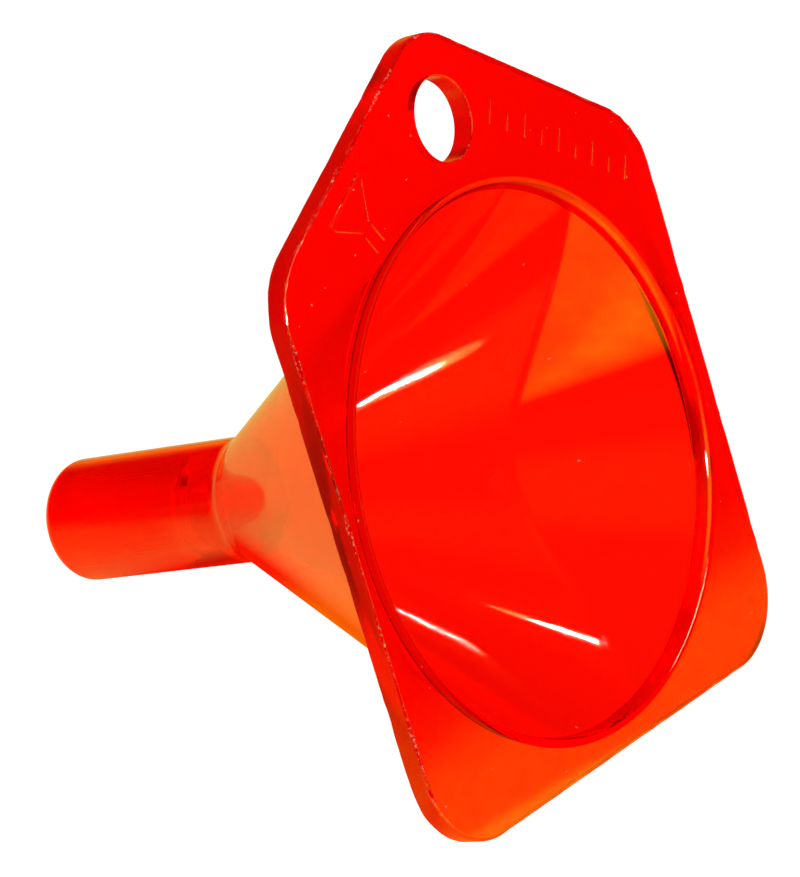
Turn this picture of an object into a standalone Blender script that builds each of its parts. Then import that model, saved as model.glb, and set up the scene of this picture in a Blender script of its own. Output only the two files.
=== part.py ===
"""Small pouring funnel moulded in one piece: a five-sided hanging flange, a
60 degree cone and a thick-walled spout with a stepped bore.

The funnel is one named object. Its blank is the flange plate; the turned body
is joined to it, the pouring passage and the hang hole are cut through, and the
marks are raised on the mouth face. Metres, +Z up, mouth upwards, spout tip on
the XY plane. The origin is centred under the flange in x and y, and the
funnel's own axis is parallel to Z at y = AXIS_Y.
"""

import math

import bmesh
import bpy
from mathutils import Matrix, Vector

# ---------------------------------------------------------------- dimensions
# Places in x and y are measured from the funnel's axis; AXIS_Y is added when building.

# Flange
MOUTH_Z = 0.0833  # mouth face, above the spout tip
FLANGE_THICKNESS = 0.0030
UNDERSIDE_Z = MOUTH_Z - FLANGE_THICKNESS
FLANGE_HALF_WIDTH = 0.0389
FLANGE_BOTTOM = -0.0391  # straight bottom edge
FLANGE_SHOULDER = 0.0346  # where the sides turn in towards the peak
PEAK_SLOPE = math.radians(30.6)
PEAK_RADIUS = 0.0095
CORNER_RADIUS = 0.0109  # the other four corners
FLANGE_EDGE_BREAK = 0.00035  # small rounding along both rims of the plate

SHARP_PEAK_Y = FLANGE_SHOULDER + FLANGE_HALF_WIDTH * math.tan(PEAK_SLOPE)
PEAK_Y = SHARP_PEAK_Y - PEAK_RADIUS / math.cos(PEAK_SLOPE) + PEAK_RADIUS
AXIS_Y = -(PEAK_Y + FLANGE_BOTTOM) / 2  # centres the flange on y = 0

# Hang hole in the peak; its chamfers are twice as wide as they are deep
HANG_HOLE_RADIUS = 0.0054
HANG_HOLE_Y = 0.0451
HANG_HOLE_CHAMFER = 0.0003

# Mouth and cone
MOUTH_RADIUS = 0.0364  # where the lip meets the mouth face
LIP_ROUNDING = 0.0015
LIP_DEPTH = 0.0020  # mouth face down to the crease where the cone begins
CONE_HALF_ANGLE = math.radians(30.0)
CONE_SLOPE = math.tan(CONE_HALF_ANGLE)  # radius gained per unit of height
CONE_OUTER_RADIUS = 0.0357  # at the flange's underside
CONE_WALL = 0.0012  # square to the surface
CONE_INNER_RADIUS = CONE_OUTER_RADIUS - CONE_WALL / math.cos(CONE_HALF_ANGLE)  # same height
UNDERSIDE_FILLET = 0.0010
FILLET_START = math.radians(104)  # the flatter part before this is left out
FILLET_OVERLAP = 0.0002  # how far the fillet's first point is raised into the flange

# Spout. The inner cone runs on inside it down to the throat, and below the
# throat the bore widens again into a long tapered seat
SPOUT_RADIUS = 0.0086
SPOUT_FILLET = 0.0044  # outside, between cone and spout
SPOUT_TIP_ROUNDING = 0.0019
THROAT_RADIUS = 0.0030
THROAT_ROUNDING = 0.0025  # inside, between cone and throat
THROAT_LAND = 0.0020  # straight length of the throat
SEAT_STEP_HEIGHT = 0.0006  # from the throat out to the top of the seat
SEAT_TOP_RADIUS = 0.0036
SEAT_BOTTOM_RADIUS = 0.0062
SEAT_CHAMFER = 0.0001

# Where the passage cutter runs clear of the funnel
CUTTER_OVERRUN = 0.002  # above the mouth and below the tip
CUTTER_MOUTH_MARGIN = 0.0004  # wider than the mouth, above it
CUTTER_MOUTH_RISE = 0.0002  # height at which it reaches that width
LIP_CLEARANCE = 0.00001  # the lip's first point, just above the mouth face

# Raised marks on the mouth face
MARK_HEIGHT = 0.00015
MARK_SINK = 0.0006  # how deep a mark reaches into the flange
MARK_STROKE = 0.0004
SCALE_BARS = 9
SCALE_START = (0.0093, 0.0437)
SCALE_END = (0.0334, 0.0296)
SCALE_LONG = 0.0030
SCALE_SHORT = 0.0018
SIGN_CENTRE = (-0.0205, 0.0375)
SIGN_TURN = PEAK_SLOPE
SIGN_WIDTH = 0.0084
SIGN_CONE = 0.0046  # height of the sign's cone
SIGN_STEM = 0.0034  # height of its stem
SIGN_STEM_WIDTH = SIGN_WIDTH / 4
SIGN_GAP = 0.0009  # below the rim line and below the slanting sides

# Segment counts
TURNED_STEPS = 72
HANG_HOLE_STEPS = 48
CORNER_STEPS = 8
FILLET_STEPS = 6
UNDERSIDE_FILLET_STEPS = 4
THROAT_STEPS = 5
STROKE_END_STEPS = 4


# ------------------------------------------------------------------ outlines
def arc(centre, radius, start, end, steps=FILLET_STEPS):
    """Points on a circle from the start angle to the end angle, both included."""
    angles = [start + (end - start) * i / steps for i in range(steps + 1)]
    return [
        (centre[0] + radius * math.cos(angle), centre[1] + radius * math.sin(angle))
        for angle in angles
    ]


def rounded(corners, radii):
    """An anticlockwise outline with each corner replaced by a tangent arc."""
    outline = []
    for i, (corner, radius) in enumerate(zip(corners, radii)):
        corner = Vector(corner)
        back = (Vector(corners[i - 1]) - corner).normalized()
        ahead = (Vector(corners[(i + 1) % len(corners)]) - corner).normalized()
        half = math.acos(max(-1.0, min(1.0, back.dot(ahead)))) / 2
        centre = corner + (back + ahead).normalized() * radius / math.sin(half)
        first = corner + back * radius / math.tan(half) - centre
        start = math.atan2(first.y, first.x)
        outline += arc(centre, radius, start, start + math.pi - 2 * half, CORNER_STEPS)
    return outline


def bar(start, end, width):
    """The outline of a straight stroke with rounded ends."""
    heading = math.atan2(end.y - start.y, end.x - start.x)
    quarter = math.pi / 2
    far_end = arc(end, width / 2, heading - quarter, heading + quarter, STROKE_END_STEPS)
    near_end = arc(start, width / 2, heading + quarter, heading + 3 * quarter, STROKE_END_STEPS)
    return far_end + near_end


def from_axis(outline):
    """Moves an outline given about the funnel's axis to its place in the scene."""
    return [(x, y + AXIS_Y) for x, y in outline]


# -------------------------------------------------------------------- solids
def new_object(name, bm):
    bmesh.ops.recalc_face_normals(bm, faces=bm.faces)
    mesh = bpy.data.meshes.new(name)
    bm.to_mesh(mesh)
    bm.free()
    mesh.shade_smooth()
    mesh.set_sharp_from_angle(angle=math.radians(25))
    obj = bpy.data.objects.new(name, mesh)
    bpy.context.scene.collection.objects.link(obj)
    return obj


def plate(name, outline, low, high):
    """A flat plate with this outline, between two heights."""
    bm = bmesh.new()
    base = bm.faces.new([bm.verts.new((x, y, low)) for x, y in outline])
    grown = bmesh.ops.extrude_face_region(bm, geom=[base])["geom"]
    tops = [part for part in grown if isinstance(part, bmesh.types.BMVert)]
    bmesh.ops.translate(bm, verts=tops, vec=(0, 0, high - low))
    return new_object(name, bm)


def turned(name, profile, centre_y, steps=TURNED_STEPS):
    """A solid of revolution about a vertical axis at x = 0, from (radius, height) points."""
    bm = bmesh.new()
    angles = [2 * math.pi * i / steps for i in range(steps)]
    rings = [
        [
            bm.verts.new((radius * math.cos(angle), centre_y + radius * math.sin(angle), height))
            for angle in angles
        ]
        for radius, height in profile
    ]
    for upper, lower in zip(rings, rings[1:]):
        for i in range(steps):
            j = (i + 1) % steps
            bm.faces.new((upper[i], upper[j], lower[j], lower[i]))
    bm.faces.new(rings[0])
    bm.faces.new(rings[-1])
    return new_object(name, bm)


def combine(target, other, operation):
    """Joins or cuts the target with another object, which becomes a hidden helper."""
    other.hide_render = True
    other.display_type = "WIRE"
    modifier = target.modifiers.new(other.name, "BOOLEAN")
    modifier.operation = operation
    modifier.solver = "EXACT"
    modifier.object = other


# ------------------------------------------------------------------ profiles
def cone_to_tube(cone_radius, tube_radius, rounding, steps):
    """Arc between a tube and the cone that has this radius at the flange's underside."""
    meet = UNDERSIDE_Z - (cone_radius - tube_radius) / CONE_SLOPE
    reach = rounding * math.tan(CONE_HALF_ANGLE / 2)
    centre = (tube_radius + rounding, meet - reach)
    return arc(centre, rounding, math.pi - CONE_HALF_ANGLE, math.pi, steps)


def body_profile():
    """Outside of cone and spout, from inside the flange down to the tip."""
    # Fillet under the flange: an arc touching the underside and the cone
    run = UNDERSIDE_FILLET * math.tan((math.pi / 2 - CONE_HALF_ANGLE) / 2)
    under = arc(
        (CONE_OUTER_RADIUS + run, UNDERSIDE_Z - UNDERSIDE_FILLET),
        UNDERSIDE_FILLET,
        FILLET_START,
        math.pi - CONE_HALF_ANGLE,
        UNDERSIDE_FILLET_STEPS,
    )
    # The first point is raised so that the body's top lies inside the flange
    top_radius = under[0][0]
    inside_flange = [
        (top_radius, UNDERSIDE_Z + FLANGE_THICKNESS / 2),
        (top_radius, UNDERSIDE_Z + FILLET_OVERLAP),
    ]
    neck = cone_to_tube(CONE_OUTER_RADIUS, SPOUT_RADIUS, SPOUT_FILLET, FILLET_STEPS)
    tip = arc(
        (SPOUT_RADIUS - SPOUT_TIP_ROUNDING, SPOUT_TIP_ROUNDING),
        SPOUT_TIP_ROUNDING,
        0.0,
        -math.pi / 2,
    )
    return inside_flange + under[1:] + neck + tip


def passage_profile():
    """The whole pouring passage, from above the mouth to below the tip."""
    above_radius = MOUTH_RADIUS + CUTTER_MOUTH_MARGIN
    above = [
        (above_radius, MOUTH_Z + CUTTER_OVERRUN),
        (above_radius, MOUTH_Z + CUTTER_MOUTH_RISE),
        (MOUTH_RADIUS, MOUTH_Z + LIP_CLEARANCE),
    ]
    # The point just above stands in for the first point of the lip's arc
    lip = arc((MOUTH_RADIUS, MOUTH_Z - LIP_ROUNDING), LIP_ROUNDING, math.pi / 2, math.pi)[1:]
    crease_z = MOUTH_Z - LIP_DEPTH
    crease = (CONE_INNER_RADIUS + (crease_z - UNDERSIDE_Z) * CONE_SLOPE, crease_z)
    throat = cone_to_tube(CONE_INNER_RADIUS, THROAT_RADIUS, THROAT_ROUNDING, THROAT_STEPS)

    # Straight land, a small step out, the tapered seat and its chamfered opening
    land_z = throat[-1][1] - THROAT_LAND
    opening_radius = SEAT_BOTTOM_RADIUS + SEAT_CHAMFER * 2
    seat = [
        (THROAT_RADIUS, land_z),
        (SEAT_TOP_RADIUS, land_z - SEAT_STEP_HEIGHT),
        (SEAT_BOTTOM_RADIUS, SEAT_CHAMFER),
        (opening_radius, -SEAT_CHAMFER),
        (opening_radius, -CUTTER_OVERRUN),
    ]
    return above + lip + [crease] + throat + seat


def hang_hole_profile():
    """A straight hole, chamfered at both faces of the flange."""
    wide = HANG_HOLE_RADIUS + HANG_HOLE_CHAMFER * 2
    return [
        (wide, MOUTH_Z + HANG_HOLE_CHAMFER),
        (HANG_HOLE_RADIUS, MOUTH_Z - HANG_HOLE_CHAMFER),
        (HANG_HOLE_RADIUS, UNDERSIDE_Z + HANG_HOLE_CHAMFER),
        (wide, UNDERSIDE_Z - HANG_HOLE_CHAMFER),
    ]


# -------------------------------------------------------------------- pieces
def red_plastic():
    """Glossy, partly see-through red."""
    plastic = bpy.data.materials.new("red_polystyrene")
    plastic.use_nodes = True
    surface = plastic.node_tree.nodes["Principled BSDF"].inputs
    surface["Base Color"].default_value = (0.85, 0.02, 0.004, 1.0)
    surface["Metallic"].default_value = 0.0
    surface["Roughness"].default_value = 0.12
    surface["IOR"].default_value = 1.59
    surface["Transmission Weight"].default_value = 0.5
    plastic.diffuse_color = (0.85, 0.03, 0.01, 1.0)  # viewport colour
    return plastic


def flange():
    """The five-sided plate with its rims rounded."""
    corners = [
        (-FLANGE_HALF_WIDTH, FLANGE_BOTTOM),
        (FLANGE_HALF_WIDTH, FLANGE_BOTTOM),
        (FLANGE_HALF_WIDTH, FLANGE_SHOULDER),
        (0.0, SHARP_PEAK_Y),
        (-FLANGE_HALF_WIDTH, FLANGE_SHOULDER),
    ]
    radii = [CORNER_RADIUS] * 3 + [PEAK_RADIUS, CORNER_RADIUS]
    blank = plate("funnel_body", from_axis(rounded(corners, radii)), UNDERSIDE_Z, MOUTH_Z)
    rims = blank.modifiers.new("rounded_rims", "BEVEL")
    rims.width = FLANGE_EDGE_BREAK
    rims.segments = 2
    rims.limit_method = "ANGLE"
    rims.angle_limit = math.radians(60)
    return blank


def raise_bar(target, name, start, end):
    """Adds one stroke, given about the funnel's axis, to the mouth face."""
    outline = from_axis(bar(start, end, MARK_STROKE))
    stroke = plate(name, outline, MOUTH_Z - MARK_SINK, MOUTH_Z + MARK_HEIGHT)
    combine(target, stroke, "UNION")


def add_scale(funnel):
    """Row of long and short bars along the +X slope of the peak, pointing outwards."""
    start, end = Vector(SCALE_START), Vector(SCALE_END)
    along = (end - start).normalized()
    outward = Vector((-along.y, along.x))
    for i in range(SCALE_BARS):
        foot = start.lerp(end, i / (SCALE_BARS - 1)) - outward * SCALE_LONG / 2
        length = SCALE_LONG if i % 2 == 0 else SCALE_SHORT
        raise_bar(funnel, f"scale_bar_{i + 1}", foot, foot + outward * length)


def add_sign(funnel):
    """Line drawing of a funnel on the -X slope: rim, two slanting sides, two stem lines."""
    rim, stem = SIGN_WIDTH / 2, SIGN_STEM_WIDTH / 2
    top = (SIGN_CONE + SIGN_STEM) / 2
    waist = top - SIGN_CONE
    foot = waist - SIGN_STEM
    strokes = [
        ((-rim, top), (rim, top)),
        ((-rim, top - SIGN_GAP), (-stem, waist)),
        ((rim, top - SIGN_GAP), (stem, waist)),
        ((-stem, waist - SIGN_GAP), (-stem, foot)),
        ((stem, waist - SIGN_GAP), (stem, foot)),
    ]
    turn = Matrix.Rotation(SIGN_TURN, 2)
    for i, stroke in enumerate(strokes):
        start, end = [Vector(SIGN_CENTRE) + turn @ Vector(point) for point in stroke]
        raise_bar(funnel, f"sign_stroke_{i + 1}", start, end)


def build():
    for obj in list(bpy.data.objects):
        bpy.data.objects.remove(obj, do_unlink=True)

    funnel = flange()
    funnel.data.materials.append(red_plastic())
    combine(funnel, turned("body_blank", body_profile(), AXIS_Y), "UNION")
    combine(funnel, turned("passage_cutter", passage_profile(), AXIS_Y), "DIFFERENCE")
    hole_y = HANG_HOLE_Y + AXIS_Y
    hole = turned("hang_hole_cutter", hang_hole_profile(), hole_y, HANG_HOLE_STEPS)
    combine(funnel, hole, "DIFFERENCE")
    add_scale(funnel)
    add_sign(funnel)


build()
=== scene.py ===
"""The looks of the small red filling funnel: one clear tinted moulding on a pale floor.

The funnel's axis is upright. The spout's tip is at z = 0 and the mouth opens upwards
through a flat plate, whose straight edge is at low y and whose peak is at high y.
"""

import math
import random
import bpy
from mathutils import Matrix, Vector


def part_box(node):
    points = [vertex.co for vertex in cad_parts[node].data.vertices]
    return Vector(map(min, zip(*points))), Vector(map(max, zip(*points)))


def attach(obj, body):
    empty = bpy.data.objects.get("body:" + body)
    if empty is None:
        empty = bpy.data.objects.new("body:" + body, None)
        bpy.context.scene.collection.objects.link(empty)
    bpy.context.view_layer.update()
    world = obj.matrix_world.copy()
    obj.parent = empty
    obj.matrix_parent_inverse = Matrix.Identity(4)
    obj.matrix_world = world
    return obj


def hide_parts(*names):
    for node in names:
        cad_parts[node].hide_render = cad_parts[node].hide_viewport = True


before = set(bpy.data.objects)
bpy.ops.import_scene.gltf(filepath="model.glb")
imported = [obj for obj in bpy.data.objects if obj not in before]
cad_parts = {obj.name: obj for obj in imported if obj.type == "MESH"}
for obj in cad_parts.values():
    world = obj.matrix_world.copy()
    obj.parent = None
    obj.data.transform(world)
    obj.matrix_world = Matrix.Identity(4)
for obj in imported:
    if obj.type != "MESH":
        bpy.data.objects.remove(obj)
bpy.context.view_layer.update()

from types import SimpleNamespace

import bmesh
import bpy
from mathutils import Matrix, Vector

MM = 0.001

# ------------------------------------------------------------------ dimensions
# The plate: its mouth side, peak and straight edge come from the frame's box
box_low, box_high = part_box("funnel_body")
MARK_HEIGHT = 0.15 * MM
MOUTH_Z = box_high.z - MARK_HEIGHT
THICKNESS = 3.0 * MM
UNDERSIDE_Z = MOUTH_Z - THICKNESS
HALF_WIDTH = (box_high.x - box_low.x) / 2
BOTTOM_Y = box_low.y
PEAK_SLOPE = math.radians(30.6)
PEAK_R = 9.5 * MM
CORNER_R = 10.9 * MM
APEX_Y = box_high.y - PEAK_R + PEAK_R / math.cos(PEAK_SLOPE)
SHOULDER_Y = APEX_Y - HALF_WIDTH * math.tan(PEAK_SLOPE)
TOP_RIM_R = 0.42 * MM
LOW_RIM_R = 0.36 * MM
OUTLINE_STEP = 0.7 * MM  # greatest point spacing along straight edges
AXIS_Y = BOTTOM_Y + 39.1 * MM
HANG_HOLE_Y = AXIS_Y + 45.1 * MM
HANG_HOLE_R = 5.4 * MM
HANG_HOLE_ROUND = 0.25 * MM

# The cone and spout, turned about the axis
HALF_ANGLE = math.radians(30)
CONE_SLOPE = math.tan(HALF_ANGLE)
CONE_OUTER = 35.7 * MM  # radius at the plate's underside
CONE_WALL = 1.2 * MM
CONE_FILLET = 1.0 * MM
MOUTH_R = 36.4 * MM
LIP_ROUND = 1.5 * MM
LIP_DEPTH = 2.0 * MM
SPOUT_R = 8.6 * MM
SPOUT_FILLET = 4.4 * MM
TIP_ROUND = 1.9 * MM
THROAT_R = 3.0 * MM
THROAT_ROUND = 2.5 * MM
THROAT_LAND = 2.0 * MM
SEAT_STEP = 0.6 * MM
SEAT_TOP_R = 3.6 * MM
SEAT_BOTTOM_R = 6.2 * MM
TURNS = 288
HOLE_TURNS = 96

# Raised strokes on the plate
STROKE_WIDTH = 0.4 * MM
STROKE_SINK = 0.6 * MM
STROKE_FLARE = 0.03 * MM  # extra half width of the strokes' foot
STROKE_ROUND = 0.12 * MM

GROUND_GAP = 0.2 * MM  # keeps the floor and sweep just clear of the funnel


# --------------------------------------------------------------------- helpers
def arc(centre, radius, start, end, steps):
    return [
        (
            centre[0] + radius * math.cos(start + (end - start) * i / steps),
            centre[1] + radius * math.sin(start + (end - start) * i / steps),
        )
        for i in range(steps + 1)
    ]


def line(start, end, steps):
    return [
        (
            start[0] + (end[0] - start[0]) * k / steps,
            start[1] + (end[1] - start[1]) * k / steps,
        )
        for k in range(steps + 1)
    ]


def loft(bm, rings):
    """Join rings of equally many vertices in turn and cap both ends."""
    count = len(rings[0])
    for near, far in zip(rings, rings[1:]):
        for i in range(count):
            j = (i + 1) % count
            bm.faces.new((near[i], near[j], far[j], far[i]))
    bm.faces.new(rings[0])
    bm.faces.new(rings[-1])


def object_from(name, bm):
    bmesh.ops.recalc_face_normals(bm, faces=bm.faces)
    mesh = bpy.data.meshes.new(name)
    bm.to_mesh(mesh)
    bm.free()
    obj = bpy.data.objects.new(name, mesh)
    bpy.context.scene.collection.objects.link(obj)
    return obj


def turned(name, profile, centre_y, steps=TURNS):
    """A solid turned about an upright axis at x = 0 from (radius, height) points."""
    bm = bmesh.new()
    turns = [2 * math.pi * i / steps for i in range(steps)]
    rings = [
        [
            bm.verts.new((radius * math.cos(a), centre_y + radius * math.sin(a), height))
            for a in turns
        ]
        for radius, height in profile
    ]
    loft(bm, rings)
    return object_from(name, bm)


# ----------------------------------------------------------------------- plate
def outline_points():
    """Points round the plate with their outward directions, corners rounded."""
    corners = [
        Vector((-HALF_WIDTH, BOTTOM_Y)),
        Vector((HALF_WIDTH, BOTTOM_Y)),
        Vector((HALF_WIDTH, SHOULDER_Y)),
        Vector((0.0, APEX_Y)),
        Vector((-HALF_WIDTH, SHOULDER_Y)),
    ]
    radii = [CORNER_R, CORNER_R, CORNER_R, PEAK_R, CORNER_R]
    runs = []
    for i, (corner, radius) in enumerate(zip(corners, radii)):
        back = (corners[i - 1] - corner).normalized()
        ahead = (corners[(i + 1) % 5] - corner).normalized()
        half = math.acos(back.dot(ahead)) / 2
        centre = corner + (back + ahead).normalized() * radius / math.sin(half)
        first = corner + back * radius / math.tan(half) - centre
        start = math.atan2(first.y, first.x)
        sweep = math.pi - 2 * half
        steps = max(6, round(sweep / math.radians(3)))
        run = []
        for k in range(steps + 1):
            heading = start + sweep * k / steps
            out = Vector((math.cos(heading), math.sin(heading)))
            run.append((centre + radius * out, out))
        runs.append(run)
    points = []
    for i, run in enumerate(runs):
        points += run
        (here, out), (there, _) = run[-1], runs[(i + 1) % 5][0]
        count = max(2, round((there - here).length / OUTLINE_STEP))
        points += [(here.lerp(there, k / count), out) for k in range(1, count)]
    return points


def nick_depths(count, rng):
    """How far handling has worn a rim back at each outline point."""
    depths = [0.02 * MM * rng.random() for _ in range(count)]
    for _ in range(46):
        at, size = rng.randrange(count), rng.choice((1, 1, 2, 3))
        deep = rng.uniform(0.05, 0.16) * MM
        for k in range(-size, size + 1):
            fall = 1 - abs(k) / (size + 1)
            depths[(at + k) % count] = max(depths[(at + k) % count], deep * fall)
    return depths


def plate():
    """The plate with rounded rims, worn by small nicks."""
    points = outline_points()
    rng = random.Random(7)
    worn_top = nick_depths(len(points), rng)
    worn_low = nick_depths(len(points), rng)
    # Each ring: inset, height, wear along it, share of that wear, way it shifts in z
    rings = []
    for k in range(6):
        a = math.radians(90 * k / 5)
        height = UNDERSIDE_Z + LOW_RIM_R * (1 - math.cos(a))
        share = math.sin(math.pi * k / 5)
        rings.append((LOW_RIM_R * (1 - math.sin(a)), height, worn_low, share, 1))
    for rise in (1.1 * MM, 1.9 * MM):
        rings.append((0.0, UNDERSIDE_Z + rise, worn_low, 0.0, 1))
    for k in range(7):
        a = math.radians(90 * k / 6)
        height = MOUTH_Z - TOP_RIM_R * (1 - math.sin(a))
        share = math.sin(math.pi * k / 6)
        rings.append((TOP_RIM_R * (1 - math.cos(a)), height, worn_top, share, -1))
    bm = bmesh.new()
    made = []
    for inset, height, worn, share, way in rings:
        ring = []
        for (point, out), depth in zip(points, worn):
            wear = depth * share
            place = point - out * (inset + wear)
            ring.append(bm.verts.new((place.x, place.y, height + way * wear * 0.6)))
        made.append(ring)
    loft(bm, made)
    return object_from("flange_blank", bm)


# -------------------------------------------------------------- turned profiles
def cone_to_bore(cone_r, bore_r, bend_r, steps):
    """The bend from a cone, this wide at the plate's underside, to a bore."""
    meet = UNDERSIDE_Z - (cone_r - bore_r) / CONE_SLOPE
    reach = bend_r * math.tan(HALF_ANGLE / 2)
    centre = (bore_r + bend_r, meet - reach)
    return arc(centre, bend_r, math.pi - HALF_ANGLE, math.pi, steps)


def body_profile():
    run = CONE_FILLET * math.tan((math.pi / 2 - HALF_ANGLE) / 2)
    centre = (CONE_OUTER + run, UNDERSIDE_Z - CONE_FILLET)
    root = arc(centre, CONE_FILLET, math.radians(98), math.pi - HALF_ANGLE, 8)
    # The fillet starts inside the plate, so that the two overlap
    root[0] = (root[0][0], UNDERSIDE_Z + 0.15 * MM)
    neck = cone_to_bore(CONE_OUTER, SPOUT_R, SPOUT_FILLET, 12)
    tip = arc((SPOUT_R - TIP_ROUND, TIP_ROUND), TIP_ROUND, 0.0, -math.pi / 2, 12)
    cone = line(root[-1], neck[0], 16)[1:-1]
    spout = line(neck[-1], tip[0], 10)[1:-1]
    return [(root[0][0], UNDERSIDE_Z + THICKNESS / 2)] + root + cone + neck + spout + tip


def passage_profile():
    cone_r = CONE_OUTER - CONE_WALL / math.cos(HALF_ANGLE)
    lip = arc((MOUTH_R, MOUTH_Z - LIP_ROUND), LIP_ROUND, math.pi / 2, math.pi, 14)
    lip[0] = (MOUTH_R, MOUTH_Z + 0.004 * MM)
    above = [(MOUTH_R + 0.3 * MM, MOUTH_Z + rise * MM) for rise in (2, 0.1)]
    crease_z = MOUTH_Z - LIP_DEPTH
    crease = (cone_r + (crease_z - UNDERSIDE_Z) * CONE_SLOPE, crease_z)
    throat = cone_to_bore(cone_r, THROAT_R, THROAT_ROUND, 8)
    cone = line(crease, throat[0], 16)[1:-1]
    land = throat[-1][1] - THROAT_LAND
    seat = line((SEAT_TOP_R, land - SEAT_STEP), (SEAT_BOTTOM_R, 0.1 * MM), 10)
    below = [(SEAT_BOTTOM_R + 0.2 * MM, -drop * MM) for drop in (0.1, 2)]
    return above + lip + [crease] + cone + throat + [(THROAT_R, land)] + seat + below


def hang_hole_profile():
    wide, soft = HANG_HOLE_R + 0.3 * MM, HANG_HOLE_ROUND
    profile = [(wide + 0.2 * MM, MOUTH_Z + 0.5 * MM), (wide, MOUTH_Z + 0.05 * MM)]
    for a in map(math.radians, (15, 40, 65, 90)):
        radius = HANG_HOLE_R + soft - soft * math.sin(a)
        profile.append((radius, MOUTH_Z - soft * (1 - math.cos(a))))
    for a in map(math.radians, (0, 25, 50, 75)):
        radius = HANG_HOLE_R + soft - soft * math.cos(a)
        profile.append((radius, UNDERSIDE_Z + soft * (1 - math.sin(a))))
    profile += [(wide, UNDERSIDE_Z - 0.05 * MM), (wide + 0.2 * MM, UNDERSIDE_Z - 0.5 * MM)]
    return profile


# ----------------------------------------------------------------------- marks
def stroke(bm, start, end):
    """One raised stroke with round ends and softened top edges."""
    heading = math.atan2(end.y - start.y, end.x - start.x)
    quarter = math.pi / 2

    def ring(radius, height):
        loop = arc(end, radius, heading - quarter, heading + quarter, 8)
        loop += arc(start, radius, heading + quarter, heading + 3 * quarter, 8)
        return [bm.verts.new((x, y + AXIS_Y, height)) for x, y in loop]

    half, top = STROKE_WIDTH / 2, MOUTH_Z + MARK_HEIGHT
    rings = [ring(half + STROKE_FLARE, height) for height in (MOUTH_Z - STROKE_SINK, MOUTH_Z)]
    for k in range(1, 5):
        a = math.radians(90 * k / 4)
        inset = STROKE_ROUND * (1 - math.cos(a))
        rings.append(ring(half - inset, top - STROKE_ROUND * (1 - math.sin(a))))
    loft(bm, rings)


def marks():
    """A row of ticks at +x and a sign of five strokes at -x; mm from the axis."""
    bm = bmesh.new()
    start, end = Vector((9.3, 43.7)) * MM, Vector((33.4, 29.6)) * MM
    long_tick, short_tick = 3.0, 1.8
    across = (end - start).normalized()
    upright = Vector((-across.y, across.x))
    for i in range(9):
        foot = start.lerp(end, i / 8) - upright * (long_tick / 2) * MM
        stroke(bm, foot, foot + upright * (short_tick if i % 2 else long_tick) * MM)
    # A bar over two slants and two upright strokes, turned to the peak's slope
    turn = Matrix.Rotation(PEAK_SLOPE, 2)
    centre = Vector((-20.5, 37.5)) * MM
    half, stem, top, gap = 4.2, 1.05, 4.0, 0.9
    waist, foot = top - 4.6, top - 8.0
    for a, b in (
        ((-half, top), (half, top)),
        ((-half, top - gap), (-stem, waist)),
        ((half, top - gap), (stem, waist)),
        ((-stem, waist - gap), (-stem, foot)),
        ((stem, waist - gap), (stem, foot)),
    ):
        stroke(bm, centre + turn @ (Vector(a) * MM), centre + turn @ (Vector(b) * MM))
    return object_from("mark_strokes", bm)


# -------------------------------------------------------------------- moulding
def moulding():
    """The whole funnel as one mesh, joined and cut from solid parts."""
    blank = plate()
    parts = (
        (turned("body_blank", body_profile(), AXIS_Y), "UNION"),
        (turned("passage", passage_profile(), AXIS_Y), "DIFFERENCE"),
        (turned("hang_hole", hang_hole_profile(), HANG_HOLE_Y, HOLE_TURNS), "DIFFERENCE"),
        (marks(), "UNION"),
    )
    for part, operation in parts:
        modifier = blank.modifiers.new(part.name, "BOOLEAN")
        modifier.operation = operation
        modifier.solver = "EXACT"
        modifier.object = part
    bpy.context.view_layer.update()
    graph = bpy.context.evaluated_depsgraph_get()
    mesh = bpy.data.meshes.new_from_object(blank.evaluated_get(graph), depsgraph=graph)
    mesh.name = "funnel_moulding"
    for obj in (blank, *(part for part, _ in parts)):
        bpy.data.objects.remove(obj, do_unlink=True)
    bm = bmesh.new()
    bm.from_mesh(mesh)
    bmesh.ops.remove_doubles(bm, verts=bm.verts, dist=1e-7)
    bmesh.ops.dissolve_degenerate(bm, dist=1e-7, edges=bm.edges)
    bm.to_mesh(mesh)
    bm.free()
    mesh.shade_smooth()
    mesh.set_sharp_from_angle(angle=math.radians(22))
    piece = bpy.data.objects.new("funnel_moulding", mesh)
    bpy.context.scene.collection.objects.link(piece)
    weigh = piece.modifiers.new("even_normals", "WEIGHTED_NORMAL")
    weigh.mode = "FACE_AREA"
    weigh.weight = 80
    weigh.keep_sharp = True
    return piece


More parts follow.
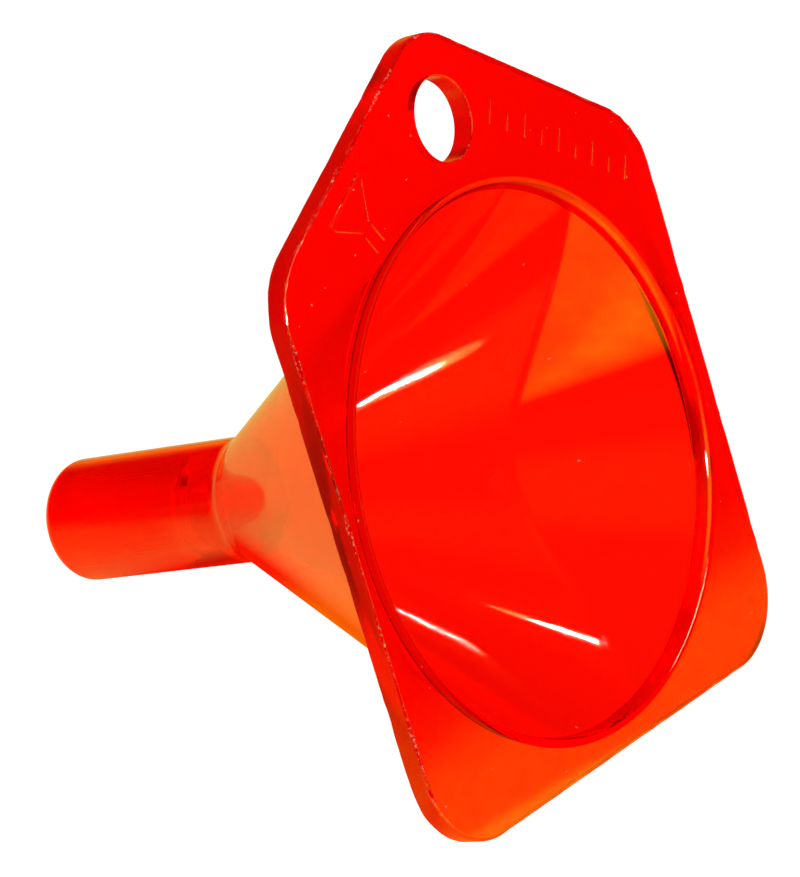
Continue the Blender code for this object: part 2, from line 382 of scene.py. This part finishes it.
# ----------------------------------------------------------------- node helper
class Nodes:
    """Short calls for building the emptied node tree of a material or world."""

    def __init__(self, owner):
        owner.use_nodes = True
        self.tree = owner.node_tree
        self.tree.nodes.clear()

    def node(self, kind, inputs=None, **settings):
        """A node; each input is given a socket to link or a value to hold."""
        node = self.tree.nodes.new("ShaderNode" + kind)
        for key, value in settings.items():
            setattr(node, key, value)
        for key, value in (inputs or {}).items():
            if hasattr(value, "is_output"):
                self.tree.links.new(value, node.inputs[key])
            else:
                node.inputs[key].default_value = value
        return node

    def out(self, kind, inputs=None, **settings):
        return self.node(kind, inputs, **settings).outputs[0]

    def place(self):
        return self.node("TexCoord").outputs["Object"]

    def split(self, vector):
        return list(self.node("SeparateXYZ", {0: vector}).outputs)

    def math(self, operation, *values):
        return self.out("Math", dict(enumerate(values)), operation=operation)

    def times(self, *values):
        product = values[0]
        for value in values[1:]:
            product = self.math("MULTIPLY", product, value)
        return product

    def length(self, x, y):
        return self.math("SQRT", self.math("ADD", self.times(x, x), self.times(y, y)))

    def noise(self, vector, scale, detail=2.0, roughness=0.5):
        inputs = {"Vector": vector, "Scale": scale, "Detail": detail, "Roughness": roughness}
        return self.out("TexNoise", inputs)

    def ramp(self, value, start, end, to=(0.0, 1.0), kind="SMOOTHSTEP"):
        """Goes from to[0] to to[1] as the value goes from start to end."""
        inputs = {"Value": value, "From Min": start, "From Max": end}
        inputs.update({"To Min": to[0], "To Max": to[1]})
        return self.out("MapRange", inputs, interpolation_type=kind)

    def fall(self, value, start, end, kind="SMOOTHSTEP"):
        return self.ramp(value, start, end, (1.0, 0.0), kind)

    def over(self, value, edge, blur=0.1 * MM):
        """1 where the value is above this edge, 0 below."""
        return self.ramp(value, edge - blur, edge + blur)

    def under(self, value, edge, blur=0.1 * MM):
        return self.fall(value, edge - blur, edge + blur)

    def mix_value(self, factor, a, b):
        return self.out("Mix", {0: factor, 2: a, 3: b}, data_type="FLOAT")

    def mix_color(self, factor, a, b):
        return self.node("Mix", {0: factor, 6: a, 7: b}, data_type="RGBA").outputs[2]


# ----------------------------------------------------------------- red plastic
PLASTIC_RED = (1.0, 0.03, 0.008, 1)
PLASTIC_IOR = 1.57


def funnel_zones(n):
    """Places on the funnel, and masks that are 1 on one part of its skin."""
    place = n.place()
    x, y, z = n.split(place)
    y = n.math("SUBTRACT", y, AXIS_Y)
    radius = n.length(x, y)
    cone = n.math("MULTIPLY_ADD", z, CONE_SLOPE, CONE_OUTER - UNDERSIDE_Z * CONE_SLOPE)
    depth = n.math("SUBTRACT", n.math("MAXIMUM", cone, SPOUT_R), radius)
    outside = n.times(n.under(depth, 0.55 * MM), n.under(z, UNDERSIDE_Z - 0.2 * MM))
    tip = n.times(
        n.under(z, TIP_ROUND, 0.3 * MM), n.over(radius, SEAT_BOTTOM_R + 0.08 * MM, 0.04 * MM)
    )
    outside = n.math("MAXIMUM", outside, tip)
    within = n.math("SUBTRACT", 1.0, outside)
    plate_mask = n.times(n.over(radius, MOUTH_R + 0.9 * MM), n.over(z, UNDERSIDE_Z - 0.1 * MM))
    return SimpleNamespace(
        place=place,
        x=x,
        y=y,
        z=z,
        radius=radius,
        angle=n.math("ARCTAN2", y, x),
        outside=outside,
        inside=n.times(within, n.under(radius, MOUTH_R - 1.0 * MM)),
        spout=n.times(outside, n.under(z, 24 * MM, 3 * MM)),
        seat=n.times(within, n.under(z, 24 * MM, 1.5 * MM)),
        plate=plate_mask,
        face=n.times(
            n.over(radius, MOUTH_R + 0.2 * MM), n.over(z, MOUTH_Z - 0.06 * MM, 0.04 * MM)
        ),
        sides=n.times(
            plate_mask, n.under(z, MOUTH_Z - 0.3 * MM), n.over(z, UNDERSIDE_Z + 0.25 * MM)
        ),
        underside=n.times(plate_mask, n.under(z, UNDERSIDE_Z + 0.2 * MM)),
    )


def skin_roughness(n, zones):
    """Polished cone and mouth-side face, satin elsewhere, with cloudy patches and rubbing."""
    cloud = n.noise(zones.place, scale=160.0, detail=3.0, roughness=0.55)
    stretched = n.out("Mapping", {"Vector": zones.place, "Scale": (1.0, 1.0, 0.35)})
    rubbed = n.noise(stretched, scale=900.0, detail=4.0, roughness=0.6)
    rough = n.mix_value(zones.outside, 0.03, 0.045)
    for zone, value in (
        (zones.spout, 0.12),
        (zones.seat, 0.55),
        (zones.face, 0.05),
        (zones.sides, 0.26),
        (zones.underside, 0.22),
    ):
        rough = n.mix_value(zone, rough, value)
    rough = n.math("ADD", rough, n.ramp(cloud, 0.35, 0.75, to=(-0.006, 0.012)))
    rubbing = n.ramp(rubbed, 0.45, 0.75, to=(0.0, 0.05))
    return n.math("ADD", rough, n.times(zones.face, rubbing))


def wrapped_noise(n, zones, round_scale, height_scale, detail, roughness):
    """Noise laid round the axis, scaled by angle and by height."""
    around, up = n.times(zones.angle, round_scale), n.times(zones.z, height_scale)
    vector = n.out("CombineXYZ", {0: around, 1: up})
    return n.noise(vector, scale=1.0, detail=detail, roughness=roughness)


def skin_relief(n, zones, lines):
    """Moulding's waviness, rings from stirring and wiping, and lines along the spout."""
    rings = wrapped_noise(n, zones, 1.1, 2600.0, detail=2.0, roughness=0.6)
    rings = n.ramp(rings, 0.66, 0.78)
    wave = n.noise(zones.place, scale=55.0, detail=2.0, roughness=0.4)
    fine = n.noise(zones.place, scale=700.0)
    # Heights in mm
    height = n.times(wave, 0.006)
    for pattern, depth in (
        (n.times(rings, zones.inside), -0.0009),
        (n.times(lines, zones.spout), -0.006),
        (fine, n.mix_value(zones.outside, 0.0002, 0.003)),
    ):
        height = n.math("MULTIPLY_ADD", pattern, depth, height)
    return n.out("Bump", {"Distance": 1.0 * MM, "Strength": 1.0, "Height": height})


def mirror_tint(n, zones, lines):
    """Mottled green share of the mirrored light, less blue on the spout."""
    mottle = n.noise(zones.place, scale=420.0, detail=4.0, roughness=0.65)
    mottle = n.ramp(mottle, 0.3, 0.7, to=(0.85, 1.2))
    drift = n.noise(zones.place, scale=70.0, detail=3.0, roughness=0.55)
    drift = n.ramp(drift, 0.3, 0.7, to=(0.95, 1.25))
    streaky = n.ramp(lines, 0.0, 1.0, to=(0.5, 0.95))
    green = n.times(mottle, drift, n.mix_value(zones.spout, 1.0, streaky))
    blue = n.mix_value(zones.spout, 0.6, 0.03)
    return n.out("CombineColor", {0: 1.0, 1: green, 2: blue})


def knocks_and_dust(n, zones):
    """Pale frosting on the plate's and hole's mouth-side rims, and dust specks."""
    place, z = zones.place, zones.z
    hole_y = n.math("SUBTRACT", zones.y, HANG_HOLE_Y - AXIS_Y)
    from_hole = n.length(zones.x, hole_y)
    facing_up = n.split(n.node("NewGeometry").outputs["Normal"])[2]
    # Rims face between level and straight up
    bend = n.times(n.ramp(facing_up, 0.45, 0.62), n.fall(facing_up, 0.86, 0.96))
    rim = n.times(
        zones.plate,
        n.over(z, MOUTH_Z - TOP_RIM_R, 0.05 * MM),
        bend,
        n.over(from_hole, HANG_HOLE_R + 1.0 * MM),
    )
    dotted = n.ramp(n.noise(place, scale=3000.0, detail=3.0, roughness=0.6), 0.53, 0.66)
    patchy = n.ramp(n.noise(place, scale=130.0), 0.38, 0.62, to=(0.12, 1.0))
    worn = n.times(rim, dotted, patchy)
    hole_rim = n.times(
        bend,
        n.under(from_hole, HANG_HOLE_R + 0.35 * MM),
        n.over(z, MOUTH_Z - 0.3 * MM, 0.05 * MM),
    )
    worn = n.math("MAXIMUM", worn, n.times(hole_rim, dotted, patchy, 0.6))
    # One speck in some cells: cell scale, largest speck, share left clean, where
    for scale, size, clean, where in (
        (300.0, 0.040, 0.86, zones.face),
        (190.0, 0.022, 0.90, zones.inside),
    ):
        cells = n.node(
            "TexVoronoi", {"Vector": place, "Scale": scale}, feature="F1", voronoi_dimensions="2D"
        ).outputs
        pick = n.node("SeparateColor", {0: cells["Color"]}).outputs
        reach = n.ramp(pick[1], 0.0, 1.0, to=(size * 0.5, size))
        speck = n.times(
            n.math("LESS_THAN", cells["Distance"], reach),
            n.math("GREATER_THAN", pick[0], clean),
            where,
        )
        worn = n.math("MAXIMUM", worn, n.times(speck, 0.7))
    return n.times(worn, 0.85)


def red_plastic():
    """Clear red-tinted polystyrene, a little wavy from moulding and worn by use."""
    material = bpy.data.materials.new("red_polystyrene_clear")
    n = Nodes(material)
    zones = funnel_zones(n)
    lines = wrapped_noise(n, zones, 26.0, 60.0, detail=3.0, roughness=0.65)
    lines = n.ramp(lines, 0.52, 0.72)
    plastic = n.out("BsdfPrincipled", {
        "Base Color": PLASTIC_RED,
        "IOR": PLASTIC_IOR,
        "Transmission Weight": 1.0,
        "Specular Tint": mirror_tint(n, zones, lines),
        "Roughness": skin_roughness(n, zones),
        "Normal": skin_relief(n, zones, lines),
    })

    # The lip's tight bend lets light in and mirrors little of it
    lip = n.times(
        n.over(zones.radius, MOUTH_R - 1.7 * MM),
        n.under(zones.radius, MOUTH_R - 0.05 * MM, 0.05 * MM),
        n.over(zones.z, MOUTH_Z - 1.9 * MM),
    )
    inward = n.out(
        "BsdfRefraction", {"Color": PLASTIC_RED, "IOR": PLASTIC_IOR, "Roughness": 0.12}
    )
    grazing = n.ramp(n.node("LayerWeight").outputs["Facing"], 0.25, 0.55, to=(0.0, 0.95))
    moulded = n.out("MixShader", {0: n.times(lip, grazing), 1: plastic, 2: inward})

    frost = n.out("BsdfDiffuse", {"Color": (0.24, 0.12, 0.04, 1)})
    skin = n.out("MixShader", {0: knocks_and_dust(n, zones), 1: moulded, 2: frost})

    # What the plastic swallows on the way through, per metre, and a painted red glow that it emits,
    # standing in for the light it would scatter back along a long way, as towards the plate's edges
    absorb = n.out("VolumeAbsorption", {"Color": (0.984, 0.32, 0.1, 1), "Density": 2500.0})
    glow = n.out("Emission", {"Color": (1.0, 0.05, 0.005, 1), "Strength": 33.0})
    volume = n.out("AddShader", {0: absorb, 1: glow})

    # Lamps' light crosses the plastic and falls on the floor tinted
    clear = n.out("BsdfTransparent", {"Color": (1.0, 0.45, 0.35, 1)})
    is_shadow = n.node("LightPath").outputs["Is Shadow Ray"]
    surface = n.out("MixShader", {0: is_shadow, 1: skin, 2: clear})
    n.node("OutputMaterial", {"Surface": surface, "Volume": volume})
    return material


# ------------------------------------------------------------- floor and sweep
def floor_material():
    """Grey paint with a fine grain and a white glow."""
    material = bpy.data.materials.new("pale_floor")
    n = Nodes(material)
    grain = n.ramp(n.noise(n.place(), scale=900.0, detail=3.0), 0.3, 0.7, to=(0.10, 0.115))
    paint = n.out("BsdfDiffuse", {"Color": n.out("CombineColor", {0: grain, 1: grain, 2: grain})})
    glow = n.out("Emission", {"Color": (1.0, 1.0, 1.0, 1), "Strength": 1.08})
    n.node("OutputMaterial", {"Surface": n.out("AddShader", {0: paint, 1: glow})})
    return material


# What the glossy surfaces mirror is a white sweep that leans against the
# plate's straight edge and the spout, the way the funnel lies on a table.
# Its own axes are x, the way towards the spout's tip, and its upper side.
LEAN = math.radians(20.9)
SWEEP_UP = Vector((0, math.cos(LEAN), math.sin(LEAN)))
SWEEP_ALONG = Vector((0, math.sin(LEAN), -math.cos(LEAN)))


def sweep_level(n, across, along):
    """How bright the sweep is in mirrors."""
    # Even behind and beside the funnel, darker towards -x
    level = n.ramp(along, -0.02, 0.06, to=(0.75, 0.78))
    side = n.ramp(across, -0.075, -0.012, to=(0.10, 1.0))
    level = n.times(level, n.mix_value(n.ramp(along, 0.0, 0.05), 1.0, side))
    # Painted pool of the flash's light, brightest before the mouth, fading into a darker room
    # further out
    bright = n.times(n.fall(along, -0.008, 0.004), n.fall(across, 0.02, 0.05))
    far = n.times(
        n.ramp(across, -0.16, -0.03),
        n.ramp(across, -0.40, -0.10, to=(0.25, 1.0)),
        n.ramp(along, -0.16, -0.04, to=(0.3, 1.0)),
    )
    level = n.mix_value(bright, level, n.times(far, 2.3))
    return n.times(level, n.ramp(n.length(across, along), 0.2, 1.6, to=(1.0, 0.12)))


def sweep_shadow(n, across, along):
    """Where the funnel's own red shadow lies, under and behind it."""
    slant = n.fall(along, 0.045, 0.082, kind="LINEAR")
    border = n.math("MULTIPLY_ADD", slant, -0.010, -0.003)
    return n.times(
        n.ramp(n.math("SUBTRACT", across, border), -0.007, 0.007),
        n.fall(along, 0.092, 0.11),
        n.ramp(along, -0.004, 0.012),
        n.fall(across, 0.05, 0.075),
    )


def sweep_material():
    material = bpy.data.materials.new("white_sweep")
    n = Nodes(material)
    across, along, _ = n.split(n.place())
    # The funnel's painted red shadow, orange nearer the plate and deep red towards the spout
    red = n.mix_color(n.ramp(along, 0.05, 0.066), (1.15, 0.27, 0.0, 1), (1.15, 0.024, 0.0, 1))
    plain = n.mix_color(n.ramp(along, 0.03, 0.07), (1.9, 0.8, 0.03, 1), (0.85, 0.84, 0.19, 1))
    # Painted red shadow of the plate close to where it stands on the sweep
    plate_red_shadow = n.times(n.ramp(along, -0.03, -0.012), n.fall(along, 0.004, 0.010))
    plain = n.mix_color(plate_red_shadow, plain, (1.9, 0.36, 0.02, 1))
    color = n.mix_color(sweep_shadow(n, across, along), plain, red)
    level = sweep_level(n, across, along)
    mirrored = n.out("VectorMath", {0: color, "Scale": level}, operation="SCALE")
    # Seen through the plastic it is white, with painted shade far towards +x
    seen = n.node("LightPath").outputs["Is Transmission Ray"]
    dark = n.times(n.ramp(across, 0.12, 0.15), n.fall(along, 0.07, 0.095))
    white = n.mix_color(dark, (1.1, 1.1, 1.1, 1), (0.06, 0.05, 0.04, 1))
    light = n.out("Emission", {"Color": n.mix_color(seen, mirrored, white)})
    n.node("OutputMaterial", {"Surface": light})
    return material


# ----------------------------------------------------------------------- build
funnel = moulding()
funnel.data.materials.append(red_plastic())
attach(funnel, "root")
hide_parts("funnel_body")

bpy.ops.mesh.primitive_plane_add(size=6.0, location=(0, 0, -GROUND_GAP))
floor = bpy.context.object
floor.name = "floor"
floor.data.materials.append(floor_material())
floor.visible_glossy = False
floor.visible_transmission = False

bpy.ops.mesh.primitive_plane_add(size=16.0)
sweep = bpy.context.object
sweep.name = "sweep"
touch = Vector((0, BOTTOM_Y, UNDERSIDE_Z)) - SWEEP_UP * GROUND_GAP
axes = Matrix((Vector((1, 0, 0)), SWEEP_ALONG, SWEEP_UP)).transposed()
sweep.matrix_world = Matrix.Translation(touch) @ axes.to_4x4()
sweep.data.materials.append(sweep_material())
for ray in ("camera", "diffuse", "volume_scatter", "shadow"):
    setattr(sweep, "visible_" + ray, False)

# ---------------------------------------------------------------------- render
scene = bpy.context.scene
scene.view_settings.view_transform = "Standard"
scene.view_settings.look = "None"
cycles = scene.cycles
cycles.max_bounces = 24
cycles.transmission_bounces = 24
cycles.glossy_bounces = 12
cycles.transparent_max_bounces = 16
cycles.use_denoising = True
cycles.sample_clamp_indirect = 0.0
cycles.blur_glossy = 0.0
cycles.caustics_reflective = False
cycles.caustics_refractive = False


# ----------------------------------------------------------------------- world
def towards(rise, turn):
    """The direction this many degrees above the sweep and round from +x towards the tip."""
    rise, turn = math.radians(rise), math.radians(turn)
    flat = Vector((math.cos(turn), 0, 0)) + SWEEP_ALONG * math.sin(turn)
    return flat * math.cos(rise) + SWEEP_UP * math.sin(rise)


def studio_world():
    """Pale seen straight; in mirrors and through the plastic a dark, warm room."""
    world = bpy.data.worlds.new("studio")
    n = Nodes(world)
    heading = n.node("TexCoord").outputs["Generated"]

    def lies(axis):
        """How far the looked-in direction lies along this axis, from -1 to 1."""
        return n.node("VectorMath", {0: heading, 1: axis}, operation="DOT_PRODUCT").outputs["Value"]

    # Paler low down beyond the spout
    room = n.times(
        n.ramp(lies(SWEEP_UP), 0.02, 0.30, to=(0.62, 0.0)),
        n.ramp(lies(SWEEP_ALONG), 0.1, 0.5),
        n.ramp(lies((1, 0, 0)), -0.25, 0.2),
    )
    room = n.math("ADD", room, 0.012)
    # Soft patches: direction, angles in degrees where full and where gone, strength
    for axis, narrow, wide, strength in (
        (towards(2, -98), 3, 18, 0.8),  # low before the mouth
        (towards(36, -108), 5, 26, 2.5),  # high before the mouth
        (towards(36, -168), 5, 24, 0.12),  # high towards -x
    ):
        edges = math.cos(math.radians(wide)), math.cos(math.radians(narrow))
        patch = n.ramp(lies(axis.normalized()), *edges, to=(0.0, strength))
        room = n.math("ADD", room, patch)
    path = n.node("LightPath").outputs
    room = n.math("MULTIPLY_ADD", path["Is Transmission Ray"], 0.05, room)
    shown = n.math("MAXIMUM", path["Is Glossy Ray"], path["Is Transmission Ray"])
    level = n.math("MULTIPLY_ADD", path["Is Camera Ray"], 0.85, 0.25)
    sky = n.out("Background", {
        "Strength": n.mix_value(shown, level, room),
        "Color": n.mix_color(shown, (1.0, 1.0, 1.0, 1), (2.3, 0.8, 0.05, 1)),
    })
    n.node("OutputWorld", {"Surface": sky})
    return world


scene.world = studio_world()

# ------------------------------------------------------------ lamps and camera
# The camera's place and its view's directions
VIEW_RIGHT = Vector((0.59181749, -0.28544113, 0.75384045))
VIEW_DOWN = Vector((-0.32011533, -0.94152036, -0.10519306))
VIEW_AHEAD = Vector((0.73978256, -0.17906079, -0.6485823))
EYE = Vector((-0.352075, 0.090621 + AXIS_Y, 0.286428 + MOUTH_Z))
MOUTH = Vector((0, AXIS_Y, MOUTH_Z - 0.03))  # the lamps' aim, a little below the mouth


def lamp(name, place, long_way, size, radiance, color):
    """An oval area lamp here, facing the mouth, with its long side this way."""
    data = bpy.data.lights.new(name, "AREA")
    data.shape = "ELLIPSE"
    data.size, data.size_y = size
    data.energy = radiance * math.pi * math.pi / 4 * size[0] * size[1]
    data.color = color
    back = (place - MOUTH).normalized()
    side = (long_way - back * long_way.dot(back)).normalized()
    made = bpy.data.objects.new(name, data)
    turn = Matrix((side, back.cross(side), back)).transposed()
    made.matrix_world = Matrix.Translation(place) @ turn.to_4x4()
    made.visible_camera = False
    scene.collection.objects.link(made)


# A flash to the right of and above the camera, its glow, and a strip further right
flash_place = EYE + VIEW_RIGHT * 0.139 - VIEW_DOWN * 0.079
near_end = EYE + VIEW_RIGHT * 0.114 - VIEW_DOWN * 0.063
slant = math.radians(35)
slanted = VIEW_RIGHT * math.cos(slant) - VIEW_DOWN * math.sin(slant)
core_place = near_end - (near_end - MOUTH) * 0.01
glow_place = flash_place + (flash_place - MOUTH) * 0.02
strip_place = MOUTH + towards(27, -59) * 0.6
strip_way = towards(27, -52) - towards(24, -68)
# Columns: name, place, long way, size, radiance, colour
for settings in (
    ("flash", flash_place, slanted, (0.062, 0.010), 2300, (1, 0.95, 2.0)),
    ("flash_core", core_place, slanted, (0.020, 0.014), 2400, (1, 0.95, 2.0)),
    ("flash_glow", glow_place, slanted, (0.110, 0.036), 60, (1, 0.8, 0.4)),
    ("strip", strip_place, strip_way, (0.16, 0.022), 42, (1, 1.0, 0.95)),
):
    lamp(*settings)

camera_data = bpy.data.cameras.new("camera")
camera_data.sensor_width = 36
camera_data.lens = 150.1984036
camera_data.clip_start = 0.01
camera = bpy.data.objects.new("camera", camera_data)
view_turn = Matrix((VIEW_RIGHT, -VIEW_DOWN, -VIEW_AHEAD)).transposed()
camera.matrix_world = Matrix.Translation(EYE) @ view_turn.to_4x4()
scene.collection.objects.link(camera)
scene.camera = camera
